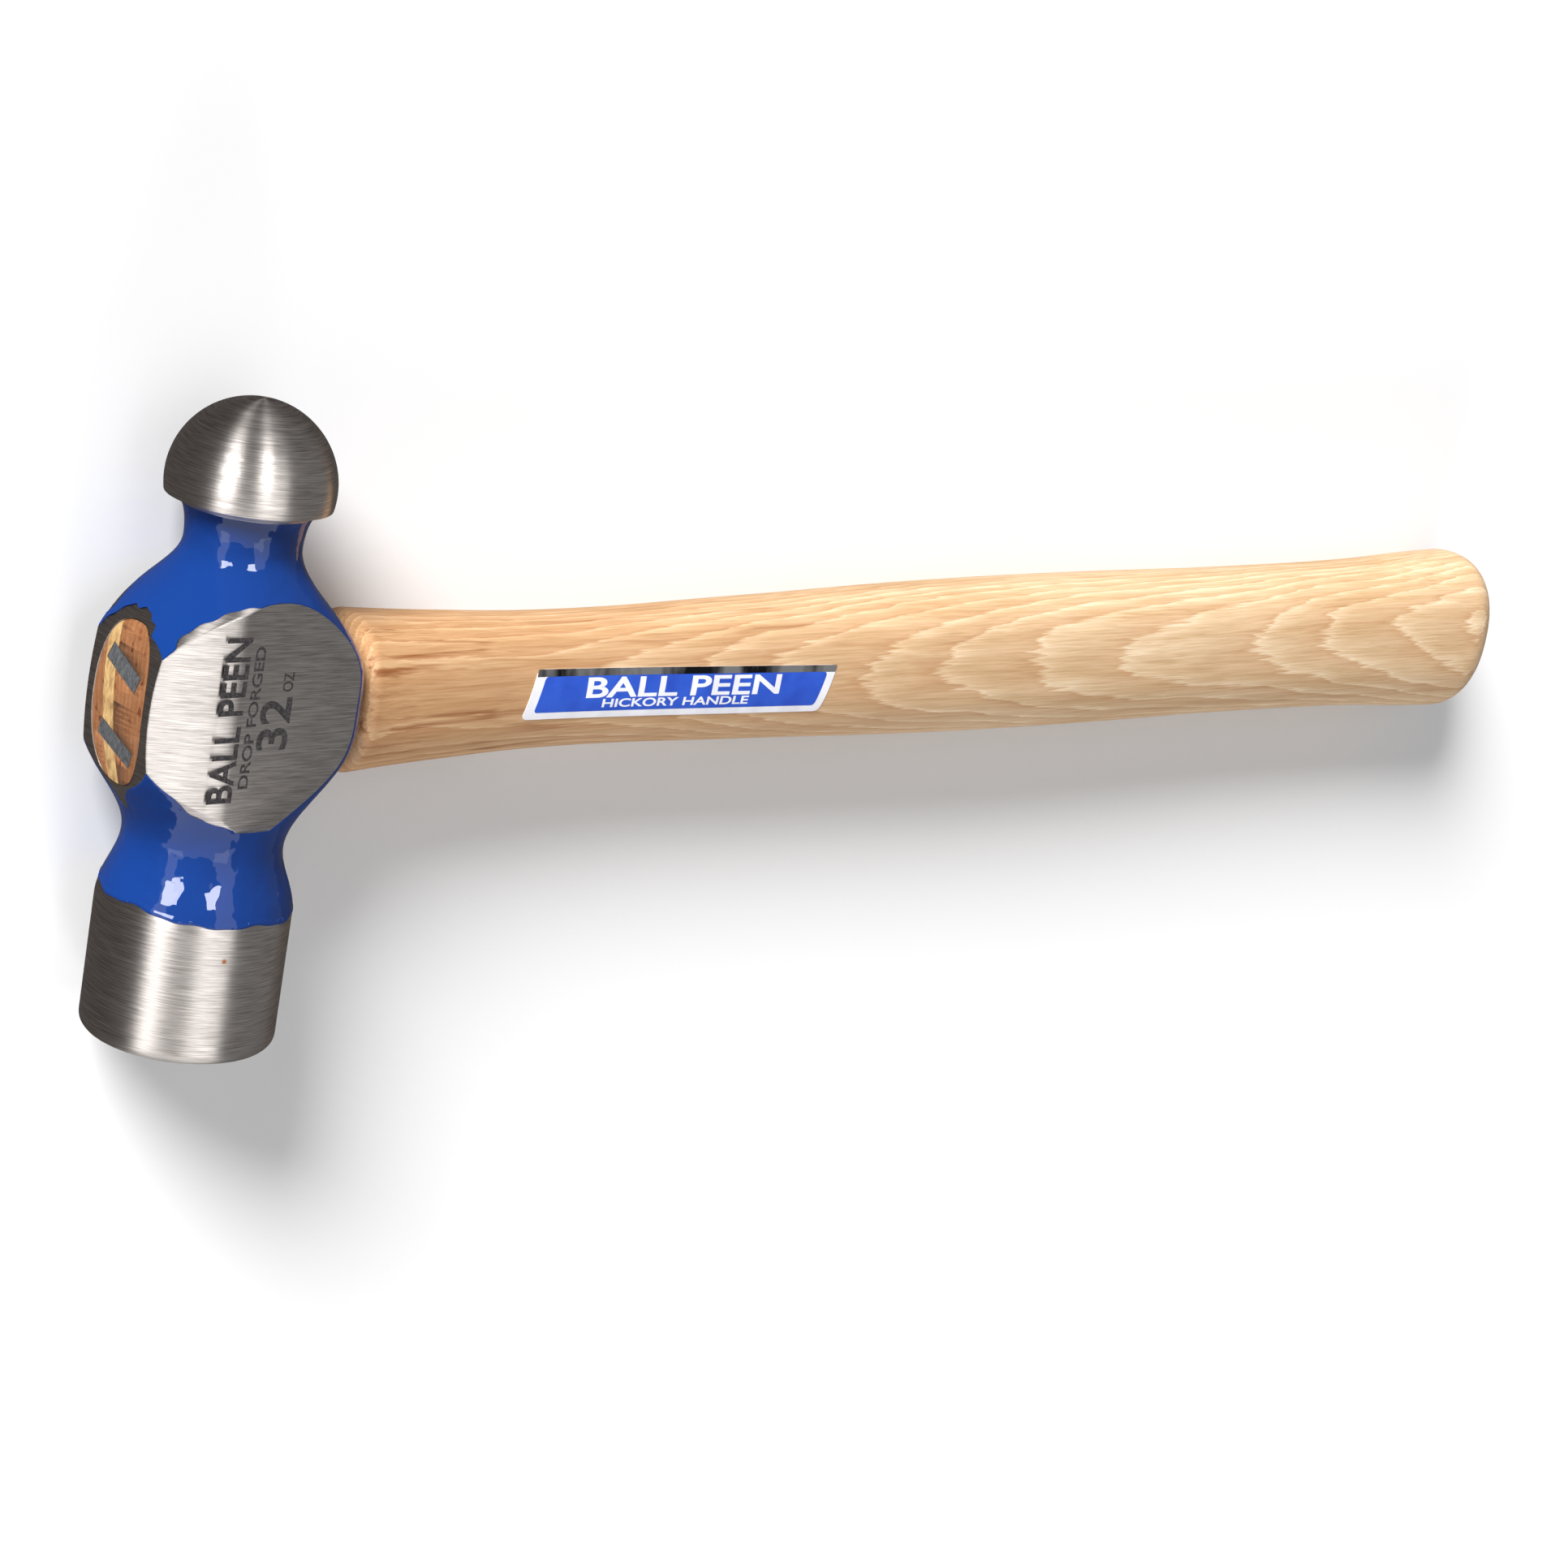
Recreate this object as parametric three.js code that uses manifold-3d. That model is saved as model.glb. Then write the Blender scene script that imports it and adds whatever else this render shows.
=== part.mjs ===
// A 32 oz ball-peen hammer lying on its side: +X runs along the handle to the grip,
// +Y along the head to the ball, +Z out of a cheek. Millimetres.
// Everything is drawn about the middle of the eye and moved to the part's frame at the end.
import * as THREE from "three";
import { mergeVertices } from "three/addons/utils/BufferGeometryUtils.js";
import Module from "manifold-3d";

const wasm = await Module();
wasm.setup();

// Head: a steel forging, round about Y at both ends and oval in the middle.
const POLL_RADIUS = 19.4;
const POLL_LENGTH = 27.5;
const FACE_TO_EYE = 70.3;
const FACE_CROWN = 0.6;
const FACE_BEVEL = 2.6;
const BALL_RADIUS = 16.6;
const BALL_TO_EYE = 59.5;
const BALL_SKIRT = 3.1; // how far the ball runs on below its own centre
const LEDGE_SLOPE = 1.2;
const UPPER_NECK_RADIUS = 11.3;
const UPPER_NECK_LENGTH = 8.4;
const UPPER_NECK_FLARE = 2.4;
const LOWER_NECK_RADIUS = 15.7;
const LOWER_NECK_LENGTH = 14.3;
const BODY_REACH = 28.9; // half the forging along X, before its two ends are ground off
const BODY_SWELL = 22.9; // half the forging along Z, before the cheeks are ground
const BODY_MIDDLE = 1.6;

// Ground flats of the head.
const CHEEK_HALF_WIDTH = 16.1;
const CHEEK_FLAT_END = 7; // from here the cheeks roll over to the eye end
const CHEEK_ROLL_BEND = 12;
const CHEEK_ROLL_HALF_WIDTH = 10.8;
const EYE_FACE = 23.7;
const EYE_FACE_ROUNDING = 69;
const SEAT_FACE = 24.8;
const GRIND_REACH = 26; // how far up and down the head the grinding goes

// Eye: an oval hole along X, widest at the wedged end.
const EYE_TOP = { height: 16.7, width: 8.6 };
const EYE_WAIST = { height: 13.2, width: 7.5 };
const EYE_SEAT = { height: 13.5, width: 8 };
const EYE_WAIST_X = 6;
const EYE_SQUARENESS = 2.6;

// Handle: an oval grip, given by half its height (along Y) and half its width (along Z)
// at places from the shoulder (0) to the start of the rounded butt (1).
const HANDLE_REACH = 381;
const SHOULDER_ROUNDING = 4;
const BUTT_LENGTH = 12.5;
const GRIP = [
  { at: 0, height: 16.5, width: 12.6 },
  { at: 0.065, height: 15.2, width: 11.5 },
  { at: 0.15, height: 14.3, width: 10.8 },
  { at: 0.305, height: 15.5, width: 11.7 },
  { at: 0.47, height: 17.2, width: 13.1 },
  { at: 0.605, height: 17.7, width: 13.5 },
  { at: 0.77, height: 17.6, width: 13.4 },
  { at: 0.9, height: 18.3, width: 13.9 },
  { at: 0.96, height: 19.4, width: 14.3 },
  { at: 1, height: 19.9, width: 14.5 },
];
const GRIP_SQUARENESS = 2.3;
const BUTT_SQUARENESS = 2.6;

// Wedges: one of wood along the eye, two of steel driven across it.
const WOOD_WEDGE = { depth: 34, thick: 3.8, thin: 1, z: -3.4, turn: -9 };
const STEEL_WEDGE = { depth: 25, thick: 3.8, thin: 0.9, length: 11.4, turn: 21 };
const UPPER_WEDGE_Y = 6.9;
const LOWER_WEDGE_Y = -8.1;

// Label: a slanted sticker wrapped on one side of the grip.
const LABEL = { length: 82, height: 10.7, slant: 2.5, corner: 1.6, thickness: 0.15 };
const LABEL_AT = { x: 109, y: -0.8, turn: -1.5 };

// Clearances.
const EYE_FIT = 0.15;
const WEDGE_FIT = 0.15;
const SEAT_FIT = 0.2;
const LABEL_FIT = 0.1;

// Fineness of the curved faces.
const HEAD_SIDES = 72;
const HANDLE_SIDES = 48;
const EYE_SIDES = 56;

const STEEL = { color: 0x7d7674, roughness: 0.35, metalness: 1 };
const HICKORY = { color: 0xe3c08a, roughness: 0.5, metalness: 0 };
const PALE_WOOD = { color: 0xc9a36c, roughness: 0.6, metalness: 0 };
const DARK_STEEL = { color: 0x4c4e50, roughness: 0.5, metalness: 1 };
const PAPER = { color: 0xe9e9f0, roughness: 0.4, metalness: 0 };

const ballY = BALL_TO_EYE - BALL_RADIUS;
const ledgeY = ballY - BALL_SKIRT;
const pollTopY = POLL_LENGTH - FACE_TO_EYE;
const upperNeckY = ledgeY - UPPER_NECK_LENGTH;
const lowerNeckY = pollTopY + LOWER_NECK_LENGTH;
const shoulderX = SEAT_FACE + SEAT_FIT;

// Makes a closed geometry into a solid that can be cut.
function solid(geometry) {
  geometry.deleteAttribute("normal");
  geometry.deleteAttribute("uv");
  const merged = mergeVertices(geometry, 1e-4);
  const corners = merged.index.array;
  const triVerts = [];
  for (let i = 0; i < corners.length; i += 3) {
    const [a, b, c] = corners.slice(i, i + 3);
    if (a !== b && b !== c && c !== a) triVerts.push(a, b, c);
  }
  const vertProperties = merged.attributes.position.array;
  const mesh = { numProp: 3, vertProperties, triVerts: new Uint32Array(triVerts) };
  return new wasm.Manifold(new wasm.Mesh(mesh));
}

// Turns a finished solid into a named mesh.
function part(name, body, look) {
  const { vertProperties, triVerts } = body.getMesh();
  const geometry = new THREE.BufferGeometry();
  geometry.setAttribute("position", new THREE.BufferAttribute(vertProperties, 3));
  geometry.setIndex(new THREE.BufferAttribute(triVerts, 1));
  geometry.computeVertexNormals();
  const mesh = new THREE.Mesh(geometry, new THREE.MeshStandardMaterial(look));
  mesh.name = name;
  return mesh;
}

// Moves every vertex of a geometry by a function of its position.
function reshape(geometry, move) {
  const at = geometry.attributes.position;
  const p = new THREE.Vector3();
  for (let i = 0; i < at.count; i++) {
    move(p.fromBufferAttribute(at, i));
    at.setXYZ(i, p.x, p.y, p.z);
  }
  return geometry;
}

// The factor that takes a unit circle to a superellipse in the direction of (u, v).
function squared(u, v, squareness) {
  const round = Math.hypot(u, v);
  if (round === 0) return 1;
  const sum = Math.abs(u / round) ** squareness + Math.abs(v / round) ** squareness;
  return sum ** (-1 / squareness);
}

// One half of a raised cosine: 1 at t = 0 and 0 at t = 1.
function swell(t, power) {
  return (1 + Math.cos(Math.PI * Math.min(t, 1) ** power)) / 2;
}

// How far the forging reaches from Y along X and along Z, between its two necks.
function bodyHalf(y, most, upperPower, lowerPower) {
  if (y > BODY_MIDDLE) {
    const t = (y - BODY_MIDDLE) / (upperNeckY - BODY_MIDDLE);
    return UPPER_NECK_RADIUS + (most - UPPER_NECK_RADIUS) * swell(t, upperPower);
  }
  const t = (BODY_MIDDLE - y) / (BODY_MIDDLE - lowerNeckY);
  return LOWER_NECK_RADIUS + (most - LOWER_NECK_RADIUS) * swell(t, lowerPower);
}

const halfAlongX = (y) => bodyHalf(y, BODY_REACH, 1.08, 1.24);
const halfAlongZ = (y) => bodyHalf(y, BODY_SWELL, 1.93, 0.95);

// The head's outline from the striking face up to the top of the ball.
function headOutline() {
  const points = [];
  const faceRadius = POLL_RADIUS - FACE_BEVEL;
  for (let i = 0; i <= 3; i++) {
    const r = (faceRadius * i) / 3;
    points.push([r, -FACE_TO_EYE + FACE_CROWN * (r / faceRadius) ** 2]);
  }
  const bevelY = -FACE_TO_EYE + FACE_CROWN + FACE_BEVEL;
  for (let i = 1; i <= 5; i++) {
    const turn = (Math.PI / 2) * (i / 5);
    points.push([
      faceRadius + FACE_BEVEL * Math.sin(turn),
      bevelY - FACE_BEVEL * Math.cos(turn),
    ]);
  }
  for (let i = 0; i <= 9; i++) {
    const t = i / 9;
    const flare = (POLL_RADIUS - LOWER_NECK_RADIUS) * swell(t, 1);
    points.push([LOWER_NECK_RADIUS + flare, pollTopY + LOWER_NECK_LENGTH * t]);
  }
  for (let i = 1; i <= 28; i++) {
    const y = lowerNeckY + ((upperNeckY - lowerNeckY) * i) / 28;
    points.push([halfAlongZ(y), y]);
  }
  for (let i = 1; i <= 4; i++) {
    const t = i / 4;
    const r = UPPER_NECK_RADIUS + UPPER_NECK_FLARE * (1 - Math.sqrt(1 - t * t * 0.96));
    points.push([r, upperNeckY + (UPPER_NECK_LENGTH - LEDGE_SLOPE) * t]);
  }
  const rimTurn = Math.asin(BALL_SKIRT / BALL_RADIUS);
  for (let i = 0; i <= 14; i++) {
    const turn = -rimTurn + (Math.PI / 2 + rimTurn) * (i / 14);
    points.push([BALL_RADIUS * Math.cos(turn), ballY + BALL_RADIUS * Math.sin(turn)]);
  }
  points[points.length - 1][0] = 0;
  return points.map(([r, y]) => new THREE.Vector2(r, y));
}

// The forging with its necks round and its body drawn out along X.
function forging() {
  const lathed = new THREE.LatheGeometry(headOutline(), HEAD_SIDES);
  const drawn = reshape(lathed, (p) => {
    if (p.y > lowerNeckY && p.y < upperNeckY) p.x *= halfAlongX(p.y) / halfAlongZ(p.y);
  });
  return solid(drawn);
}

// A flat outline pulled straight out through the head, centred on the origin.
function slab(shape, depth) {
  const options = { depth, bevelEnabled: false, curveSegments: 24 };
  return new THREE.ExtrudeGeometry(shape, options).translate(0, 0, -depth / 2);
}

// What is ground off one cheek: flat over the middle, rolling over to the eye end.
function cheekGrind(side) {
  const beyond = BODY_REACH + 5;
  const shape = new THREE.Shape();
  shape.moveTo(beyond, CHEEK_HALF_WIDTH);
  shape.lineTo(-CHEEK_FLAT_END, CHEEK_HALF_WIDTH);
  shape.quadraticCurveTo(-CHEEK_ROLL_BEND, CHEEK_HALF_WIDTH, -EYE_FACE, CHEEK_ROLL_HALF_WIDTH);
  shape.lineTo(-beyond, CHEEK_ROLL_HALF_WIDTH - (beyond - EYE_FACE));
  shape.lineTo(-beyond, BODY_SWELL + 5);
  shape.lineTo(beyond, BODY_SWELL + 5);
  shape.closePath();
  const cutter = slab(shape, 2 * GRIND_REACH).rotateX(Math.PI / 2);
  return solid(side > 0 ? cutter : cutter.rotateX(Math.PI));
}

// What is ground off the two ends of the body: the rounded eye face and the flat seat.
function endGrind() {
  const beyond = BODY_REACH + 5;
  const reach = GRIND_REACH - 2;
  const sweep = Math.asin(reach / EYE_FACE_ROUNDING);
  const centre = EYE_FACE_ROUNDING - EYE_FACE;
  const eyeFace = new THREE.Shape();
  eyeFace.absarc(centre, 0, EYE_FACE_ROUNDING, Math.PI - sweep, Math.PI + sweep, false);
  eyeFace.lineTo(-beyond, -reach);
  eyeFace.lineTo(-beyond, reach);
  eyeFace.closePath();
  const seat = new THREE.Shape();
  seat.moveTo(SEAT_FACE, -reach);
  seat.lineTo(beyond, -reach);
  seat.lineTo(beyond, reach);
  seat.lineTo(SEAT_FACE, reach);
  seat.closePath();
  const depth = 2 * BODY_SWELL + 10;
  return solid(slab(eyeFace, depth)).add(solid(slab(seat, depth)));
}

// The eye as a solid, made larger or smaller all round by grow.
function eyeCore(grow, fromX, toX) {
  const rings = 16;
  const tube = new THREE.CylinderGeometry(1, 1, toX - fromX, EYE_SIDES, rings);
  tube.rotateZ(-Math.PI / 2).translate((toX + fromX) / 2, 0, 0);
  return solid(
    reshape(tube, (p) => {
      const end = p.x < EYE_WAIST_X ? EYE_TOP : EYE_SEAT;
      const run = p.x < EYE_WAIST_X ? EYE_WAIST_X + EYE_FACE : SEAT_FACE - EYE_WAIST_X;
      const t = Math.min(Math.abs(p.x - EYE_WAIST_X) / run, 1.2) ** 2;
      const k = squared(p.y, p.z, EYE_SQUARENESS);
      p.y *= k * (EYE_WAIST.height + (end.height - EYE_WAIST.height) * t + grow);
      p.z *= k * (EYE_WAIST.width + (end.width - EYE_WAIST.width) * t + grow);
    }),
  );
}

// Half height and half width of the grip, smooth through the named places.
const gripHeights = new THREE.SplineCurve(GRIP.map((s) => new THREE.Vector2(s.at, s.height)));
const gripWidths = new THREE.SplineCurve(GRIP.map((s) => new THREE.Vector2(s.at, s.width)));

// The grip's outline along X, from the shoulder's flat front to the end of the butt.
function gripOutline() {
  const first = GRIP[0];
  const last = GRIP[GRIP.length - 1];
  const points = [{ x: shoulderX, height: 0, width: 0 }];
  const roundX = shoulderX + SHOULDER_ROUNDING;
  for (let i = 0; i <= 4; i++) {
    const turn = (Math.PI / 2) * (i / 4);
    const inset = SHOULDER_ROUNDING * (1 - Math.sin(turn));
    const x = roundX - SHOULDER_ROUNDING * Math.cos(turn);
    points.push({ x, height: first.height - inset, width: first.width - inset });
  }
  const steps = 44;
  for (let i = 1; i <= steps; i++) {
    const height = gripHeights.getPoint(i / steps);
    const width = gripWidths.getPoint(i / steps);
    const x = roundX + height.x * (HANDLE_REACH - BUTT_LENGTH - roundX);
    points.push({ x, height: height.y, width: width.y });
  }
  for (let i = 1; i <= 10; i++) {
    const t = Math.sin((Math.PI / 2) * (i / 10));
    const k = (1 - t ** BUTT_SQUARENESS) ** (1 / BUTT_SQUARENESS);
    const x = HANDLE_REACH - BUTT_LENGTH * (1 - t);
    points.push({ x, height: last.height * k, width: last.width * k });
  }
  return points;
}

// The grip as a solid, made larger all round by grow.
function gripBody(grow) {
  const outline = gripOutline();
  const profile = outline.map((s) => new THREE.Vector2(s.height ? 1 : 0, s.x));
  profile[profile.length - 1].x = 0;
  const lathed = new THREE.LatheGeometry(profile, HANDLE_SIDES).rotateZ(-Math.PI / 2);
  const xs = outline.map((s) => s.x);
  return solid(
    reshape(lathed, (p) => {
      const i = xs.findIndex((x) => Math.abs(x - p.x) < 1e-3);
      const k = squared(p.y, p.z, GRIP_SQUARENESS);
      p.y *= k * (outline[i].height + grow);
      p.z *= k * (outline[i].width + grow);
    }),
  );
}

// A wedge driven in from the eye end, made larger all round by grow and turned about X.
function wedge(size, length, y, z, grow) {
  const start = -EYE_FACE - 3;
  const tip = -EYE_FACE + size.depth + grow;
  const shape = new THREE.Shape();
  shape.moveTo(start, -size.thick / 2 - grow);
  shape.lineTo(tip, -size.thin / 2 - grow);
  shape.lineTo(tip, size.thin / 2 + grow);
  shape.lineTo(start, size.thick / 2 + grow);
  shape.closePath();
  const turned = slab(shape, length + 2 * grow).rotateX(THREE.MathUtils.degToRad(size.turn));
  return solid(turned.translate(0, y, z));
}

// The wooden wedge's thickness lies along Z, so its outline is stood on edge.
function woodenWedge(grow) {
  const { turn, z } = WOOD_WEDGE;
  const size = { ...WOOD_WEDGE, turn: 90 + turn };
  return wedge(size, 2 * EYE_TOP.height + 6, 0, z, grow);
}

function steelWedge(y, grow) {
  return wedge(STEEL_WEDGE, STEEL_WEDGE.length, y, 0, grow);
}

// The label's outline about its own middle, a leaning rectangle with rounded corners.
function labelOutline() {
  const { length, height, slant, corner } = LABEL;
  const low = new THREE.Vector2((length - slant) / 2, -height / 2);
  const high = new THREE.Vector2((length + slant) / 2, height / 2);
  const corners = [
    new THREE.Vector2(-high.x, low.y),
    new THREE.Vector2(low.x, low.y),
    high,
    new THREE.Vector2(-low.x, high.y),
  ];
  const shape = new THREE.Shape();
  corners.forEach((at, i) => {
    const before = corners[(i + 3) % 4].clone().sub(at).setLength(corner).add(at);
    const after = corners[(i + 1) % 4].clone().sub(at).setLength(corner).add(at);
    if (i === 0) shape.moveTo(before.x, before.y);
    else shape.lineTo(before.x, before.y);
    shape.quadraticCurveTo(at.x, at.y, after.x, after.y);
  });
  shape.closePath();
  return shape;
}

function labelBody() {
  const depth = 2 * BODY_SWELL;
  const options = { depth, bevelEnabled: false, curveSegments: 6 };
  const flat = new THREE.ExtrudeGeometry(labelOutline(), options);
  const turned = flat.rotateZ(THREE.MathUtils.degToRad(LABEL_AT.turn));
  const prism = solid(turned.translate(LABEL_AT.x, LABEL_AT.y, 0));
  const outside = gripBody(LABEL_FIT + LABEL.thickness);
  return outside.intersect(prism).subtract(gripBody(LABEL_FIT));
}

const ground = forging().subtract(cheekGrind(1)).subtract(cheekGrind(-1)).subtract(endGrind());
const through = BODY_REACH + 6;
const head = ground.subtract(eyeCore(0, -through, through));

const tenon = eyeCore(-EYE_FIT, -through, shoulderX + SHOULDER_ROUNDING);
const wedgeRoom = tenon.intersect(ground); // the wedges stay inside the eye and end flush with it
const upper = steelWedge(UPPER_WEDGE_Y, 0).intersect(wedgeRoom);
const lower = steelWedge(LOWER_WEDGE_Y, 0).intersect(wedgeRoom);
const pockets = steelWedge(UPPER_WEDGE_Y, WEDGE_FIT).add(steelWedge(LOWER_WEDGE_Y, WEDGE_FIT));
const kerfWedge = woodenWedge(0).intersect(wedgeRoom).subtract(pockets);

const clear = solid(new THREE.BoxGeometry(through, through, through).translate(through / 2, 0, 0));
const flushTenon = tenon.intersect(ground.add(clear));
const handle = flushTenon.add(gripBody(0)).subtract(woodenWedge(WEDGE_FIT)).subtract(pockets);

const hammer = new THREE.Group();
hammer.name = "ball_peen_hammer";
hammer.add(
  part("hammer_head", head, STEEL),
  part("handle", handle, HICKORY),
  part("wooden_wedge", kerfWedge, PALE_WOOD),
  part("steel_wedge_upper", upper, DARK_STEEL),
  part("steel_wedge_lower", lower, DARK_STEEL),
  part("label", labelBody(), PAPER),
);
hammer.position.set(
  (EYE_FACE - HANDLE_REACH) / 2,
  (FACE_TO_EYE - BALL_TO_EYE) / 2,
  POLL_RADIUS,
);

export default hammer;
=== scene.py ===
from math import asin, cos, exp, pi, radians, sin, sqrt

import bmesh
import bpy
from mathutils import Matrix, Quaternion, Vector


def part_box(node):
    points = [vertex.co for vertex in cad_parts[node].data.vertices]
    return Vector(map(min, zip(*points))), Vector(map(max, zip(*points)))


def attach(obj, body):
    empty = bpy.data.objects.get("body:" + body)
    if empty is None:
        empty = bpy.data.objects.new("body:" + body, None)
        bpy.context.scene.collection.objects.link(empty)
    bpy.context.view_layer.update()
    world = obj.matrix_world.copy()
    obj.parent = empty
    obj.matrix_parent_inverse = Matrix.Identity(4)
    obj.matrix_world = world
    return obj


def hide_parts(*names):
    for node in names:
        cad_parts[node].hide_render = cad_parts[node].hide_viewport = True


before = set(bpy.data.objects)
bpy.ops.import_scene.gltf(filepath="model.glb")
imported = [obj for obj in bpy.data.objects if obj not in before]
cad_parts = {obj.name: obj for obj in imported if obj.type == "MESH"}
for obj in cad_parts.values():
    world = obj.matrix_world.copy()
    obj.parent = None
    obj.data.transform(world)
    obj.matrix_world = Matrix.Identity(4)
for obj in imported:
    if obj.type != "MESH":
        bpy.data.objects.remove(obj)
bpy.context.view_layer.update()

scene = bpy.context.scene

# ---------------------------------------------------------------- camera
# The hammer is seen from above its wedged end, with the head standing upright on the
# left of the picture and the handle running off to the right.
camera_data = bpy.data.cameras.new("camera")
camera_data.lens = 93.17
camera_data.sensor_width = 36
camera_data.clip_end = 20
camera = bpy.data.objects.new("camera", camera_data)
scene.collection.objects.link(camera)
look = Vector((0.669446, -0.275892, -0.689729))
camera.rotation_mode = "QUATERNION"
camera.location = (-0.62528, 0.22471, 0.63778)
camera.rotation_quaternion = look.to_track_quat("-Z", "Y") @ Quaternion((0, 0, 1), radians(116.03))
scene.camera = camera
scene.view_settings.view_transform = "Standard"


# ---------------------------------------------------------------- stage
# A matt white table, tilted by three quarters of a degree so that the poll and the butt
# both rest on it. Bright metal mirrors a dark card under it instead of the table.
def colour(hex_code):
    """A linear colour from an sRGB hex code such as 1c44a0."""
    channels = [int(hex_code[i : i + 2], 16) / 255 for i in (0, 2, 4)]
    return [c / 12.92 if c <= 0.04045 else ((c + 0.055) / 1.055) ** 2.4 for c in channels] + [1]


def add(tree, kind, settings=None, inputs=None, stops=()):
    """Adds a node, gives it its settings, sets or links its inputs, and fills its colour ramp."""
    node = tree.nodes.new(kind)
    for name, value in (settings or {}).items():
        setattr(node, name, value)
    for i, (position, code) in enumerate(stops):
        ramp = node.color_ramp.elements
        stop = ramp[i] if i < 2 else ramp.new(position)
        stop.position = position
        stop.color = colour(code)
    for name, value in (inputs or {}).items():
        if isinstance(value, bpy.types.NodeSocket):
            tree.links.new(value, node.inputs[name])
        else:
            node.inputs[name].default_value = value
    return node


def new_object(name, vertices, faces):
    """A mesh object in the scene, from its vertices and faces."""
    mesh = bpy.data.meshes.new(name)
    mesh.from_pydata([tuple(v) for v in vertices], [], faces)
    piece = bpy.data.objects.new(name, mesh)
    scene.collection.objects.link(piece)
    return piece


HEAD_MIDDLE = Vector((-0.1787, 0.0, 0.0194))
TABLE_HALF = 4.0
TABLE_TILT = 0.0133


def table(name, drop):
    """A wide sheet that touches the poll at one end of the hammer and the butt at the other."""
    corners = []
    for x, y in ((-1, -1), (1, -1), (1, 1), (-1, 1)):
        x, y = x * TABLE_HALF, y * TABLE_HALF
        corners.append((x, y, (x - HEAD_MIDDLE.x) * TABLE_TILT - drop))
    sheet = new_object(name, corners, [(0, 1, 2, 3)])
    return sheet


white_table = table("white_table", 0.0001)
matt_white = bpy.data.materials.new("matt white board")
matt_white.use_nodes = True
board = matt_white.node_tree.nodes["Principled BSDF"]
board.inputs["Base Color"].default_value = colour("f2f2f3")
board.inputs["Roughness"].default_value = 1
board.inputs["Specular IOR Level"].default_value = 0
white_table.data.materials.append(matt_white)
white_table.visible_glossy = False

black_card = table("black_card", 0.004)
matt_black = bpy.data.materials.new("black card")
matt_black.use_nodes = True
card = matt_black.node_tree.nodes["Principled BSDF"]
card.inputs["Base Color"].default_value = colour("0a0a0a")
card.inputs["Roughness"].default_value = 1
card.inputs["Emission Color"].default_value = colour("fff6f0")
card.inputs["Emission Strength"].default_value = 0.09
black_card.data.materials.append(matt_black)
black_card.visible_camera = False
black_card.visible_diffuse = False
black_card.visible_shadow = False

# ---------------------------------------------------------------- light
# An even pale room and a wide soft key from the ball's side. Two tall boxes run as bright
# lines down the round steel, two small windows glint in the enamel, and a low lamp fills.
room = bpy.data.worlds.new("room")
scene.world = room
room.use_nodes = True
room.node_tree.nodes["Background"].inputs["Color"].default_value = (1, 1, 1, 1)
room.node_tree.nodes["Background"].inputs["Strength"].default_value = 0.20

key_data = bpy.data.lights.new("key", "SUN")
key_data.energy = 6.5
key_data.angle = radians(25)
key = bpy.data.objects.new("key", key_data)
key.rotation_mode = "QUATERNION"
key.rotation_quaternion = Vector((0.62, -0.68, -0.345)).to_track_quat("-Z", "Y")
key.visible_glossy = False
scene.collection.objects.link(key)


def softbox(name, away, distance, wide, tall, watts, shines_only):
    """A rectangular lamp aimed at the head, seen only in reflections if it shines only."""
    away = away.normalized()
    data = bpy.data.lights.new(name, "AREA")
    data.shape = "RECTANGLE"
    data.size = wide
    data.size_y = tall
    data.energy = watts
    lamp = bpy.data.objects.new(name, data)
    lamp.rotation_mode = "QUATERNION"
    lamp.location = HEAD_MIDDLE + away * distance
    beside = Vector((0, 1, 0)).cross(away).normalized()
    turned = Matrix((beside, away.cross(beside), away)).transposed()
    lamp.rotation_quaternion = turned.to_quaternion()
    lamp.visible_diffuse = not shines_only
    scene.collection.objects.link(lamp)
    return lamp


softbox("side_strip", Vector((-0.913, 0.0, 0.299)), 1.2, 0.34, 1.5, 2.0, True)
softbox("top_box", Vector((0.04, 0.02, 0.92)), 1.2, 0.56, 1.6, 3.0, False)
softbox("left_window", Vector((-0.85, 0.43, 0.40)), 1.2, 0.36, 0.36, 6.0, True)
softbox("right_window", Vector((-0.23, 0.48, 0.85)), 1.2, 0.26, 0.36, 4.6, True)
softbox("front_panel", Vector((-0.36, -0.80, 0.46)), 1.2, 2.2, 1.5, 9.5, True)
low_fill = softbox("low_fill", Vector((0.25, -1.0, 0.13)), 1.3, 1.3, 0.3, 14.0, False)
low_fill.visible_glossy = False

# ---------------------------------------------------------------- steel head
# The head is one steel forging, lathed round at the poll and the ball and drawn out in
# the middle. Its cheeks and the two ends of the eye are ground flat to bare metal.
head_low, head_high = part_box("hammer_head")
FACE_TO_EYE = 70.3
EYE_FACE = 23.7
eye_middle = Vector(
    (head_low.x + EYE_FACE / 1000, head_low.y + FACE_TO_EYE / 1000, (head_low.z + head_high.z) / 2)
)


def in_frame(x, y, z):
    """A point given in millimetres from the middle of the eye, in the frame's metres."""
    return eye_middle + Vector((x, y, z)) / 1000


POLL_RADIUS = 19.4
POLL_TOP = -42.8
FACE_BEVEL = 2.6
FACE_CROWN = 0.6
BALL_RADIUS = 16.6
BALL_CENTRE = 42.9
BALL_SKIRT = 3.1
LEDGE = 39.8
LEDGE_SLOPE = 1.2
LEDGE_FLARE = 2.4
UPPER_NECK = 31.4
UPPER_NECK_RADIUS = 11.3
LOWER_NECK = -28.5
LOWER_NECK_RADIUS = 15.7
BODY_MIDDLE = 1.6
BODY_REACH = 28.9
BODY_SWELL = 22.9
CHEEK_HALF_WIDTH = 16.1
EYE_EDGE = 10.8
EYE_SEAT = 24.8
EYE_WAIST = 6


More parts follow.
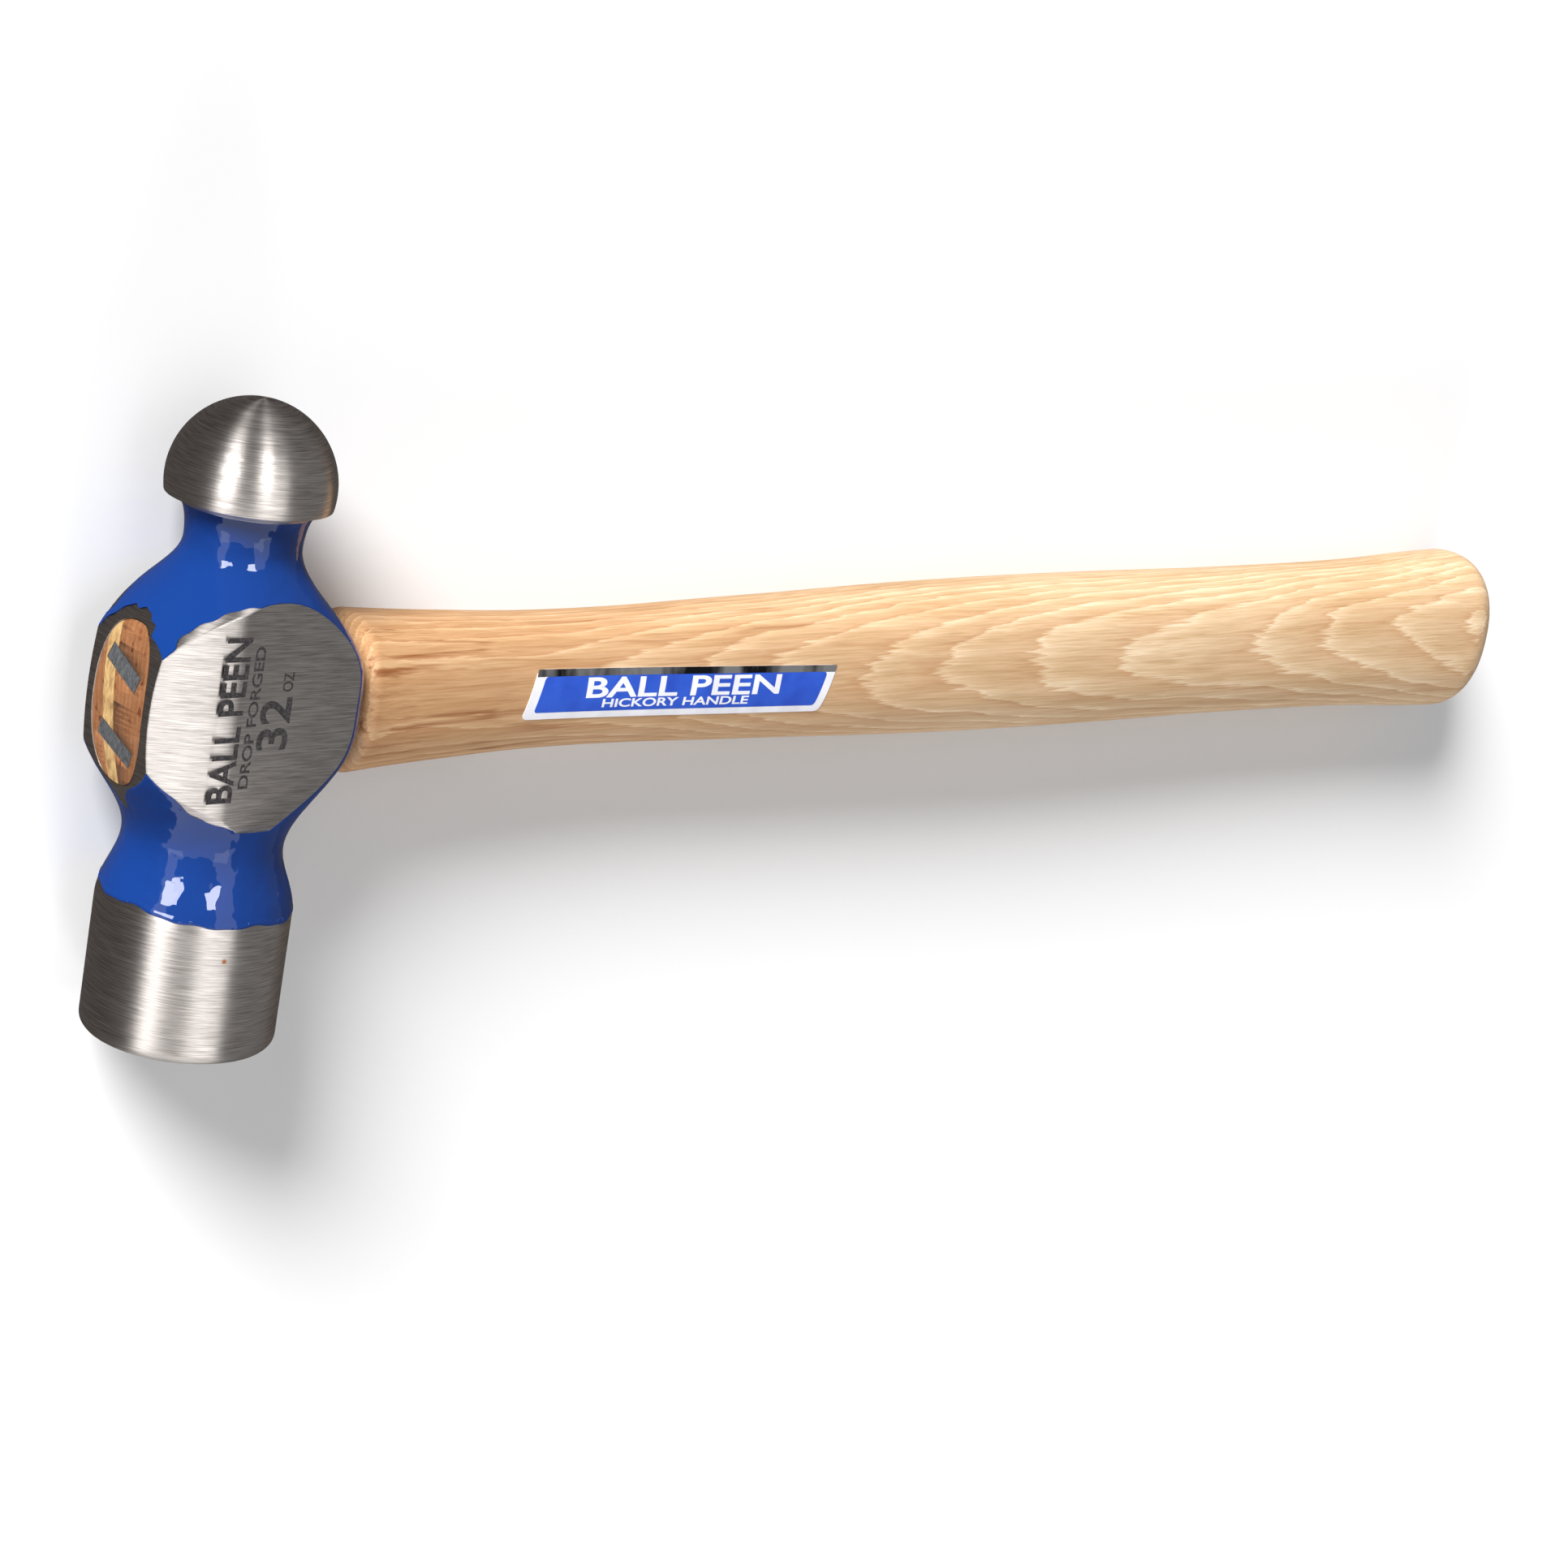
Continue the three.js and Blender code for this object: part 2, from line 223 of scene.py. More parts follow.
def swell(t, power):
    """Half a raised cosine, 1 at 0 and 0 at 1."""
    return (1 + cos(pi * min(t, 1) ** power)) / 2


def body_half(y, most, upper_power, lower_power):
    """Half a size of the body at height y, from its most in the middle to the two necks."""
    if y > BODY_MIDDLE:
        t = (y - BODY_MIDDLE) / (UPPER_NECK - BODY_MIDDLE)
        return UPPER_NECK_RADIUS + (most - UPPER_NECK_RADIUS) * swell(t, upper_power)
    t = (BODY_MIDDLE - y) / (BODY_MIDDLE - LOWER_NECK)
    return LOWER_NECK_RADIUS + (most - LOWER_NECK_RADIUS) * swell(t, lower_power)


def forged_halves(y):
    """How far the forging reaches along X and along Z at height y, between poll and ledge."""
    if y <= POLL_TOP:
        return POLL_RADIUS, POLL_RADIUS
    if y < LOWER_NECK:
        t = (y - POLL_TOP) / (LOWER_NECK - POLL_TOP)
        r = LOWER_NECK_RADIUS + (POLL_RADIUS - LOWER_NECK_RADIUS) * swell(t, 1)
        return r, r
    if y <= UPPER_NECK:
        return body_half(y, BODY_REACH, 1.08, 1.24), body_half(y, BODY_SWELL, 1.93, 0.95)
    t = min((y - UPPER_NECK) / (LEDGE - LEDGE_SLOPE - UPPER_NECK), 1)
    r = UPPER_NECK_RADIUS + LEDGE_FLARE * (1 - sqrt(1 - 0.96 * t * t))
    return r, r


def head_rows():
    """The height and the two half sizes of each ring of the head, from the face to the ball."""
    rows = []
    face_radius = POLL_RADIUS - FACE_BEVEL
    for i in range(9):
        r = face_radius * i / 8
        rows.append((-FACE_TO_EYE + FACE_CROWN * (r / face_radius) ** 2, r, r))
    for i in range(1, 10):
        turn = pi / 2 * i / 9
        r = face_radius + FACE_BEVEL * sin(turn)
        rows.append((-FACE_TO_EYE + FACE_CROWN + FACE_BEVEL * (1 - cos(turn)), r, r))
    start = rows[-1][0]
    for i in range(1, 13):
        y = start + (POLL_TOP - start) * i / 12
        rows.append((y, POLL_RADIUS, POLL_RADIUS))
    top = LEDGE - LEDGE_SLOPE
    for i in range(1, 161):
        y = POLL_TOP + (top - POLL_TOP) * i / 160
        rows.append((y, *forged_halves(y)))
    rim = asin(BALL_SKIRT / BALL_RADIUS)
    for i in range(61):
        turn = -rim + (pi / 2 + rim) * i / 60
        r = BALL_RADIUS * cos(turn)
        rows.append((BALL_CENTRE + BALL_RADIUS * sin(turn), r, r))
    return rows


def closed_rings(name, rings):
    """A closed skin over rings of points, each ring given in millimetres from the eye."""
    count = len(rings[0])
    vertices = [in_frame(*p) for ring in rings for p in ring]
    faces = []
    for i in range(len(rings) - 1):
        for j in range(count):
            k = (j + 1) % count
            faces.append((i * count + j, i * count + k, (i + 1) * count + k, (i + 1) * count + j))
    faces.append(tuple(range(count)))
    faces.append(tuple(range((len(rings) - 1) * count, len(rings) * count)))
    piece = new_object(name, vertices, faces)
    tidy(piece)
    return piece


def tidy(piece):
    """Merges doubles, then turns every face outwards."""
    skin = bmesh.new()
    skin.from_mesh(piece.data)
    bmesh.ops.remove_doubles(skin, verts=skin.verts, dist=1e-7)
    bmesh.ops.dissolve_degenerate(skin, edges=skin.edges, dist=1e-8)
    bmesh.ops.recalc_face_normals(skin, faces=skin.faces)
    skin.to_mesh(piece.data)
    skin.free()


def make_plain(piece, step):
    """Turns what a modifier makes of a piece into its plain mesh, and removes the modifier."""
    bpy.context.view_layer.update()
    shaped = piece.evaluated_get(bpy.context.evaluated_depsgraph_get())
    mesh = bpy.data.meshes.new_from_object(shaped)
    piece.modifiers.remove(step)
    piece.data = mesh


def carve(piece, other, operation="DIFFERENCE"):
    """Cuts, joins or trims a piece with another solid, which is then removed."""
    step = piece.modifiers.new("carve", "BOOLEAN")
    step.operation = operation
    step.solver = "MANIFOLD"
    step.object = other
    make_plain(piece, step)
    piece.data.materials.clear()
    bpy.data.objects.remove(other)


def prism(name, outline, low, high, along="Z"):
    """A closed solid over an outline in millimetres, from low to high along X, Y or Z."""
    count = len(outline)
    points = []
    for reach in (low, high):
        for a, b in outline:
            place = {"X": (reach, a, b), "Y": (a, reach, b), "Z": (a, b, reach)}[along]
            points.append(in_frame(*place))
    faces = [tuple(range(count)), tuple(range(count, 2 * count))]
    for i in range(count):
        k = (i + 1) % count
        faces.append((i, k, count + k, count + i))
    piece = new_object(name, points, faces)
    tidy(piece)
    return piece


def cheek_wheel(side, deeper):
    """What the grinder takes off one cheek: flat, then rolled over towards the eye's end."""
    flat, low = CHEEK_HALF_WIDTH - deeper, EYE_EDGE - deeper
    points = [(34, flat), (-7, flat)]
    for i in range(1, 25):
        t = i / 24
        x = (1 - t) ** 2 * -7 + 2 * t * (1 - t) * -12 + t * t * -EYE_FACE
        z = (1 - t) ** 2 * flat + 2 * t * (1 - t) * flat + t * t * low
        points.append((x, z))
    points += [(-34, low - 10.3), (-34, 28), (34, 28)]
    return prism("cheek_wheel", [(x, side * z) for x, z in points], -22.3, 26, "Y")


def end_wheel(deeper):
    """What the grinder takes off the eye's rounded end."""
    reach, rounding = 24, 69
    sweep = asin(reach / rounding)
    points = []
    for i in range(61):
        turn = pi - sweep + 2 * sweep * i / 60
        x = rounding - EYE_FACE + deeper + rounding * cos(turn)
        points.append((x, rounding * sin(turn)))
    return prism("end_wheel", points + [(-34, -reach), (-34, reach)], -28, 28)


def seat_wheel(deeper):
    """What the grinder takes off the flat seat on the handle's side."""
    seat = EYE_SEAT - deeper
    return prism("seat_wheel", [(seat, -24), (34, -24), (34, 24), (seat, 24)], -28, 28)


def eye_drift(grow):
    """The oval punch that opens the eye, waisted a little past the middle."""
    half_height, half_width = 13.2, 7.5
    rings = []
    for i in range(33):
        x = -35 + 70 * i / 32
        outer_half = x < EYE_WAIST
        most_height, most_width = (16.7, 8.6) if outer_half else (13.5, 8.0)
        run = EYE_WAIST + EYE_FACE if outer_half else EYE_SEAT - EYE_WAIST
        t = min(abs(x - EYE_WAIST) / run, 1.2) ** 2
        tall = half_height + (most_height - half_height) * t + grow
        wide = half_width + (most_width - half_width) * t + grow
        ring = []
        for j in range(112):
            c, s = cos(2 * pi * j / 112), sin(2 * pi * j / 112)
            k = (abs(c) ** 2.6 + abs(s) ** 2.6) ** (-1 / 2.6)
            ring.append((x, c * k * tall, s * k * wide))
        rings.append(ring)
    return closed_rings("eye_drift", rings)


def carve_all(piece, *cutters):
    """Cuts a piece with several solids, one after the other."""
    for cutter in cutters:
        carve(piece, cutter)


def fullness(y):
    """The power of the oval section, a little squarer at the shoulders of the body."""
    if not LOWER_NECK < y < UPPER_NECK:
        return 2
    return 2 + 0.4 * sin(2 * pi * (y - LOWER_NECK) / (UPPER_NECK - LOWER_NECK)) ** 2


def section_point(y, rx, rz, turn):
    """A point of the oval section at height y, the turn counted from Z towards X."""
    power = fullness(y)
    k = (abs(sin(turn)) ** power + abs(cos(turn)) ** power) ** (-1 / power)
    return rx * k * sin(turn), y, rz * k * cos(turn)


HEAD_SIDES = 200
head = closed_rings(
    "steel_head",
    [
        [section_point(y, rx, rz, 2 * pi * j / HEAD_SIDES) for j in range(HEAD_SIDES)]
        for y, rx, rz in head_rows()
    ],
)
carve_all(head, cheek_wheel(1, 0), cheek_wheel(-1, 0), end_wheel(0), seat_wheel(0), eye_drift(0))
head.data.shade_smooth()
head.data.set_sharp_from_angle(angle=radians(28))


def new_material(name):
    """A material, its node tree and its surface shader."""
    material = bpy.data.materials.new(name)
    material.use_nodes = True
    return material, material.node_tree, material.node_tree.nodes["Principled BSDF"]


RUST_SPOT = (-4.5, -47.5, 18.87)
# Satin steel: the linisher's belt leaves fine lines round the poll and ball and along the
# cheeks, broader bands are duller or brighter, and one speck of rust stands on the poll.
steel, tree, surface = new_material("linished steel")
surface.inputs["Metallic"].default_value = 1
place = add(tree, "ShaderNodeTexCoord").outputs["Object"]
round_lines = add(
    tree, "ShaderNodeMapping", inputs={"Vector": place, "Scale": (160, 5200, 160)},
)
belt = add(
    tree, "ShaderNodeTexNoise",
    inputs={"Vector": round_lines.outputs["Vector"], "Scale": 1, "Detail": 3, "Roughness": 0.6},
)
broad_lines = add(
    tree, "ShaderNodeMapping", inputs={"Vector": place, "Scale": (30, 700, 30)},
)
bands = add(
    tree, "ShaderNodeTexNoise",
    inputs={"Vector": broad_lines.outputs["Vector"], "Scale": 1, "Detail": 2},
)
tone = add(
    tree, "ShaderNodeValToRGB", inputs={"Fac": belt.outputs["Fac"]},
    stops=((0.3, "aba39e"), (0.7, "f2ebe6")),
)
from_rust = add(
    tree, "ShaderNodeVectorMath", {"operation": "DISTANCE"},
    {0: place, 1: in_frame(*RUST_SPOT)},
)
rusty = add(
    tree, "ShaderNodeMapRange",
    inputs={
        "Value": from_rust.outputs["Value"], "From Min": 0.0002, "From Max": 0.0007,
        "To Min": 1.0, "To Max": 0.0,
    },
)
spotted = add(
    tree, "ShaderNodeMix", {"data_type": "RGBA"},
    {"Factor": rusty.outputs["Result"], 6: tone.outputs["Color"], 7: colour("b06a35")},
)
tree.links.new(spotted.outputs[2], surface.inputs["Base Color"])
surface.inputs["Anisotropic"].default_value = 0.9
surface.inputs["Anisotropic Rotation"].default_value = 0.25
round_head = add(tree, "ShaderNodeTangent", {"direction_type": "RADIAL", "axis": "Y"})
tree.links.new(round_head.outputs["Tangent"], surface.inputs["Tangent"])
dulled = add(
    tree, "ShaderNodeMapRange",
    inputs={
        "Value": bands.outputs["Fac"], "From Min": 0.3, "From Max": 0.7,
        "To Min": 0.34, "To Max": 0.46,
    },
)
tree.links.new(dulled.outputs["Result"], surface.inputs["Roughness"])
eased_edge = add(tree, "ShaderNodeBevel", {"samples": 6}, {"Radius": 0.0005})
scratches = add(
    tree, "ShaderNodeBump",
    inputs={
        "Height": belt.outputs["Fac"], "Strength": 0.5, "Distance": 0.00002,
        "Normal": eased_edge.outputs["Normal"],
    },
)
tree.links.new(scratches.outputs["Normal"], surface.inputs["Normal"])
head.data.materials.append(steel)
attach(head, "root")
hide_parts("hammer_head")

# ---------------------------------------------------------------- enamel
# Blue stoving enamel, dipped over the neck, body and flare of the forging before it was
# ground. Its lower edge runs in slow waves and gathers in beads where it drained.
# Fused glass on steel: deep blue under a hard clear gloss, with slow ripples from the dipping.
enamel, tree, surface = new_material("blue enamel")
surface.inputs["Base Color"].default_value = colour("0e3274")
surface.inputs["Roughness"].default_value = 0.5
surface.inputs["Specular IOR Level"].default_value = 0.0
surface.inputs["Coat Weight"].default_value = 1
surface.inputs["Coat Roughness"].default_value = 0.03
place = add(tree, "ShaderNodeTexCoord").outputs["Object"]
ripples = add(tree, "ShaderNodeTexNoise", inputs={"Vector": place, "Scale": 150, "Detail": 2})
rippled = add(
    tree, "ShaderNodeBump",
    inputs={"Height": ripples.outputs["Fac"], "Strength": 0.8, "Distance": 0.0006},
)
tree.links.new(rippled.outputs["Normal"], surface.inputs["Normal"])
tree.links.new(rippled.outputs["Normal"], surface.inputs["Coat Normal"])

COAT_THICK = 0.15
COAT_SUNK = 0.12
RIM_BEAD = 0.08
RUN_TURN = 0.88
RUN_THICK = 0.35


def drained_edge(turn):
    """The height of the enamel's lower edge round the poll, in millimetres."""
    slow = -40.2 - 1.1 * cos(turn - 0.6)
    return slow + 0.32 * sin(5 * turn + 1.3) + 0.22 * sin(9 * turn + 0.4) + 0.12 * sin(19 * turn)


def enamel_skin(y, turn):
    """A point of the forging and the direction straight out of it there."""
    here = Vector(section_point(y, *forged_halves(y), turn))
    up = Vector(section_point(y + 0.05, *forged_halves(y + 0.05), turn))
    round_ = Vector(section_point(y, *forged_halves(y), turn + 0.01))
    normal = (up - here).cross(round_ - here).normalized()
    return here, normal if normal.dot(Vector((here.x, 0, here.z))) > 0 else -normal


def coat_rings():
    """The outer and the inner skin of the enamel, thicker at its drained edge and at one run."""
    sides, rows = 240, 170
    top = LEDGE - LEDGE_SLOPE - 0.25
    outer, inner = [], []
    for i in range(rows + 1):
        share = (i / rows) ** 1.25
        ring_out, ring_in = [], []
        for j in range(sides):
            turn = 2 * pi * j / sides
            low = drained_edge(turn)
            y = low + (top - low) * share
            here, normal = enamel_skin(y, turn)
            edge = min(y - low, (top - y) * 1.4)
            rounded = sqrt(max(0, 1 - max(0, 1 - edge / 0.35) ** 2))
            bead = RIM_BEAD * max(0, 1 - abs(y - low - 0.5) / 0.7)
            beside_run = exp(-(((turn - RUN_TURN) / 0.045) ** 2))
            run = RUN_THICK * beside_run * max(0, 1 - abs(y + 35.5) / 5) ** 0.5
            ring_out.append(tuple(here + normal * (COAT_THICK * rounded + bead + run)))
            ring_in.append(tuple(here - normal * COAT_SUNK))
        outer.append(ring_out)
        inner.append(ring_in)
    return outer, inner


def tube(name, outer, inner):
    """A closed sleeve between an outer and an inner set of rings."""
    rings = outer + inner[::-1]
    count, rows = len(rings[0]), len(rings)
    faces = []
    for i in range(rows):
        for j in range(count):
            k, n = (j + 1) % count, (i + 1) % rows
            faces.append((i * count + j, i * count + k, n * count + k, n * count + j))
    piece = new_object(name, [in_frame(*p) for ring in rings for p in ring], faces)
    tidy(piece)
    return piece


DISC_MIDDLE = (-2.2, 1.0)
DISC_RADIUS = 22.3


def bare_disc(side):
    """Where the enamel is ground off a cheek: a disc with a slightly ragged rim."""
    outline = []
    for i in range(180):
        turn = 2 * pi * i / 180
        ragged = 0.35 * sin(3 * turn + 0.5) + 0.16 * sin(11 * turn) + 0.09 * sin(29 * turn)
        r = DISC_RADIUS + ragged
        outline.append((DISC_MIDDLE[0] + r * cos(turn), DISC_MIDDLE[1] + r * sin(turn)))
    low, high = sorted((4 * side, 28 * side))
    return prism("bare_disc", outline, low, high)


def bare_eye_rim():
    """The bare ring round the eye, drawn out to a ragged point below it."""
    outline = []
    for i in range(180):
        turn = 2 * pi * i / 180
        c, s = cos(turn), sin(turn)
        k = (abs(c) ** 2.5 + abs(s) ** 2.5) ** (-1 / 2.5)
        ragged = 1 + 0.012 * sin(13 * turn) + 0.009 * sin(23 * turn + 1)
        tail = 4.6 * max(0, -c) ** 30
        outline.append((0.2 + c * k * 18.0 * ragged - tail, -1.6 + s * k * 10.9 * ragged))
    return prism("bare_eye_rim", outline, -40, -12, "X")


coat = tube("enamel_coat", *coat_rings())
GROUND_BELOW = 0.03
carve_all(coat, bare_disc(1), bare_disc(-1), bare_eye_rim())
carve_all(coat, cheek_wheel(1, GROUND_BELOW), cheek_wheel(-1, GROUND_BELOW))
carve_all(coat, end_wheel(GROUND_BELOW), seat_wheel(GROUND_BELOW), eye_drift(0.05))
coat.data.shade_smooth()
coat.data.set_sharp_from_angle(angle=radians(40))
coat.data.materials.append(enamel)
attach(coat, "root")

# The beads are laid along the drained edge by a node tree, each with its own size.
beading = bpy.data.node_groups.new("drained beads", "GeometryNodeTree")
beading.interface.new_socket(name="Rim", in_out="INPUT", socket_type="NodeSocketGeometry")
bead_sockets = {}
for name, kind, value in (
    ("Beads", "NodeSocketInt", 60),
    ("Bead radius", "NodeSocketFloat", 0.62),
    ("Seed", "NodeSocketInt", 7),
):
    bead_sockets[name] = beading.interface.new_socket(name=name, in_out="INPUT", socket_type=kind)
    bead_sockets[name].default_value = value
beading.interface.new_socket(name="Beads", in_out="OUTPUT", socket_type="NodeSocketGeometry")
given = add(beading, "NodeGroupInput")
rim_line = add(beading, "GeometryNodeMeshToCurve", inputs={"Mesh": given.outputs["Rim"]})
spaced = add(
    beading, "GeometryNodeResampleCurve",
    inputs={"Curve": rim_line.outputs[0], "Count": given.outputs["Beads"]},
)
apart = add(
    beading, "FunctionNodeRandomValue", {"data_type": "FLOAT_VECTOR"},
    {0: (0, -0.2, 0), 1: (0, 0.3, 0), "Seed": given.outputs["Seed"]},
)
jittered = add(
    beading, "GeometryNodeSetPosition",
    inputs={"Geometry": spaced.outputs[0], "Offset": apart.outputs[0]},
)
spot = add(beading, "GeometryNodeInputPosition")
outward = add(
    beading, "ShaderNodeVectorMath", {"operation": "MULTIPLY"},
    {0: spot.outputs[0], 1: (1, 0, 1)},
)
facing = add(
    beading, "FunctionNodeAlignRotationToVector", {"axis": "Z"},
    {"Vector": outward.outputs[0]},
)
ball = add(
    beading, "GeometryNodeMeshUVSphere",
    inputs={"Segments": 20, "Rings": 12, "Radius": given.outputs["Bead radius"]},
)
size = add(
    beading, "FunctionNodeRandomValue", {"data_type": "FLOAT_VECTOR"},
    {0: (0.5, 0.45, 0.42), 1: (1.5, 1.2, 0.62), "Seed": given.outputs["Seed"]},
)
kept = add(
    beading, "FunctionNodeRandomValue", {"data_type": "BOOLEAN"},
    {"Probability": 0.6, "Seed": given.outputs["Seed"]},
)
laid = add(
    beading, "GeometryNodeInstanceOnPoints",
    inputs={
        "Points": jittered.outputs[0], "Selection": kept.outputs[3],
        "Instance": ball.outputs["Mesh"], "Rotation": facing.outputs[0],
        "Scale": size.outputs[0],
    },
)
sized = add(
    beading, "GeometryNodeTransform",
    inputs={"Geometry": laid.outputs[0], "Translation": eye_middle, "Scale": (0.001, 0.001, 0.001)},
)
real = add(beading, "GeometryNodeRealizeInstances", inputs={"Geometry": sized.outputs[0]})
dressed = add(
    beading, "GeometryNodeSetMaterial", inputs={"Geometry": real.outputs[0], "Material": enamel},
)
add(beading, "NodeGroupOutput", inputs={"Beads": dressed.outputs[0]})
rim = []
for i in range(240):
    turn = 2 * pi * i / 240
    here, normal = enamel_skin(drained_edge(turn) + 0.45, turn)
    rim.append(tuple(here - normal * 0.05))
beads = new_object("enamel_beads", [], [])
beads.data.from_pydata(rim, [(i, (i + 1) % len(rim)) for i in range(len(rim))], [])
dripping = beads.modifiers.new("beads", "NODES")
dripping.node_group = beading
dripping[bead_sockets["Seed"].identifier] = 7
make_plain(beads, dripping)
beads.data.shade_smooth()
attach(beads, "root")

# ---------------------------------------------------------------- cheek marking
# The maker's words and the weight are etched black into the cheek, reading up the head.
# Acid-bitten steel, blacked: flat charcoal with a fine paler mottle.
etched, tree, surface = new_material("black etch")
surface.inputs["Roughness"].default_value = 0.55
surface.inputs["Metallic"].default_value = 0.3
place = add(tree, "ShaderNodeTexCoord").outputs["Object"]
bitten = add(tree, "ShaderNodeTexNoise", inputs={"Vector": place, "Scale": 2600, "Detail": 2})
bite = add(
    tree, "ShaderNodeValToRGB", inputs={"Fac": bitten.outputs["Fac"]},
    stops=((0.40, "2a2729"), (0.75, "5a5557")),
)
tree.links.new(bite.outputs["Color"], surface.inputs["Base Color"])


def lettering(name, words, length, height, heavy, low, high):
    """Words as a flat solid about the origin, fitted to a length and height in millimetres."""
    text = bpy.data.curves.new(name, "FONT")
    text.body = words
    text.size = 10
    text.offset = heavy
    text.extrude = 1
    holder = bpy.data.objects.new(name, text)
    scene.collection.objects.link(holder)
    bpy.context.view_layer.update()
    shaped = holder.evaluated_get(bpy.context.evaluated_depsgraph_get())
    mesh = bpy.data.meshes.new_from_object(shaped)
    bpy.data.objects.remove(holder)
    letters = bmesh.new()
    letters.from_mesh(mesh)
    bmesh.ops.remove_doubles(letters, verts=letters.verts, dist=1e-4)
    letters.to_mesh(mesh)
    letters.free()
    piece = bpy.data.objects.new(name, mesh)
    scene.collection.objects.link(piece)
    xs = [v.co.x for v in mesh.vertices]
    ys = [v.co.y for v in mesh.vertices]
    wide, tall = max(xs) - min(xs), max(ys) - min(ys)
    for v in mesh.vertices:
        v.co = (
            (v.co.x - (max(xs) + min(xs)) / 2) * length / wide,
            (v.co.y - (max(ys) + min(ys)) / 2) * height / tall,
            low if v.co.z < 0 else high,
        )
    return piece


def place_words(piece, turn, x, y):
    """Turns the words about Z, moves them in millimetres and brings them into the frame."""
    spin = Matrix.Rotation(radians(turn), 3, "Z")
    for v in piece.data.vertices:
        v.co = in_frame(*(spin @ v.co + Vector((x, y, 0))))
    piece.data.materials.clear()
    tidy(piece)


ETCH_LOW, ETCH_HIGH = 16.0, 16.115
for name, words, length, height, heavy, x, y in (
    ("etched_words", "BALL PEEN", 33.0, 5.7, 0.2, -9.0, 0.6),
    ("etched_second_line", "DROP FORGED", 28.5, 2.3, 0.2, -3.95, 1.0),
    ("etched_weight", "32", 10.6, 7.2, 0.2, 1.4, -0.5),
    ("etched_unit", "OZ", 3.9, 2.4, 0.15, 3.4, 7.9),
):
    marking = lettering(name, words, length, height, heavy, ETCH_LOW, ETCH_HIGH)
    place_words(marking, 90, x, y)
    marking.data.materials.append(etched)
    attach(marking, "root")

# ---------------------------------------------------------------- handle
# The handle is turned from one billet of hickory, oval in section, waisted behind the
# head and full at the butt. Its tenon fills the eye and shows end grain there.
PITH_DEPTH = 0.045
GRAIN_SLOPE = 0.038
RING_WIDTH = 0.0014
TORN_EDGE = 0.0012
SWAY = 0.0034

# Growth rings round a pith below the grip: a pale line of early wood, then mid tan. The cut
# shows them as arches. Fine fibres, streaks and dark veins run with the grain, and the wood
# is warmer and more veined towards the head, and oiled dark in the eye.
hickory, tree, surface = new_material("hickory")
surface.inputs["Roughness"].default_value = 0.55
surface.inputs["Coat Weight"].default_value = 0.25
surface.inputs["Coat Roughness"].default_value = 0.35
place = add(tree, "ShaderNodeTexCoord").outputs["Object"]
drift = add(tree, "ShaderNodeMapping", inputs={"Vector": place, "Scale": (12, 45, 45)})
drifting = add(
    tree, "ShaderNodeTexNoise",
    inputs={"Vector": drift.outputs["Vector"], "Scale": 1, "Detail": 3, "Roughness": 0.55},
)
centred = add(
    tree, "ShaderNodeVectorMath", {"operation": "SUBTRACT"},
    {0: drifting.outputs["Color"], 1: (0.5, 0.5, 0.5)},
)
swayed = add(
    tree, "ShaderNodeVectorMath", {"operation": "MULTIPLY_ADD"},
    {0: centred.outputs["Vector"], 1: (0, SWAY, SWAY), 2: place},
).outputs["Vector"]
grain = add(tree, "ShaderNodeSeparateXYZ", inputs={0: swayed})
lean = add(
    tree, "ShaderNodeMath", {"operation": "MULTIPLY_ADD"},
    {0: grain.outputs["X"], 1: GRAIN_SLOPE, 2: grain.outputs["Z"]},
)
depth = add(tree, "ShaderNodeMath", {"operation": "ADD"}, {0: lean.outputs[0], 1: PITH_DEPTH})
across_pith = add(
    tree, "ShaderNodeCombineXYZ", inputs={"X": grain.outputs["Y"], "Y": depth.outputs[0]},
)
from_pith = add(
    tree, "ShaderNodeVectorMath", {"operation": "LENGTH"}, {0: across_pith.outputs[0]},
)
ragged_edge = add(
    tree, "ShaderNodeMapping", inputs={"Vector": place, "Scale": (26, 1100, 1100)},
)
ragged = add(
    tree, "ShaderNodeTexNoise",
    inputs={"Vector": ragged_edge.outputs["Vector"], "Scale": 1, "Detail": 4, "Roughness": 0.7},
)
torn = add(
    tree, "ShaderNodeMath", {"operation": "MULTIPLY_ADD"},
    {0: ragged.outputs["Fac"], 1: TORN_EDGE, 2: from_pith.outputs["Value"]},
)
years = add(tree, "ShaderNodeMath", {"operation": "DIVIDE"}, {0: torn.outputs[0], 1: RING_WIDTH})
season = add(tree, "ShaderNodeMath", {"operation": "FRACT"}, {0: years.outputs[0]})
rings = add(
    tree, "ShaderNodeValToRGB", inputs={"Fac": season.outputs[0]},
    stops=(
        (0, "d4b18b"), (1, "cfaa84"),
        (0.07, "eed8ba"), (0.16, "e4caa8"), (0.40, "dabd99"), (0.85, "d5b490"),
    ),
)
figure, figure_tone = {}, {}
for name, stretch, roughness, stops in (
    ("fibre", (60, 2600, 2600), 0.65, ((0.32, "e2d7c8"), (0.62, "ffffff"))),
    ("streak", (16, 330, 330), 0.6, ((0.35, "ece2d4"), (0.6, "ffffff"))),
    ("vein", (11, 420, 700), 0.6, ((0.585, "ffffff"), (0.70, "bc946c"))),
):
    with_grain = add(tree, "ShaderNodeMapping", inputs={"Vector": swayed, "Scale": stretch})
    figure[name] = add(
        tree, "ShaderNodeTexNoise",
        inputs={
            "Vector": with_grain.outputs["Vector"], "Scale": 1,
            "Detail": 3, "Roughness": roughness,
        },
    ).outputs["Fac"]
    figure_tone[name] = add(
        tree, "ShaderNodeValToRGB", inputs={"Fac": figure[name]}, stops=stops,
    ).outputs["Color"]
along_hammer = add(tree, "ShaderNodeSeparateXYZ", inputs={0: place}).outputs["X"]
near = {}
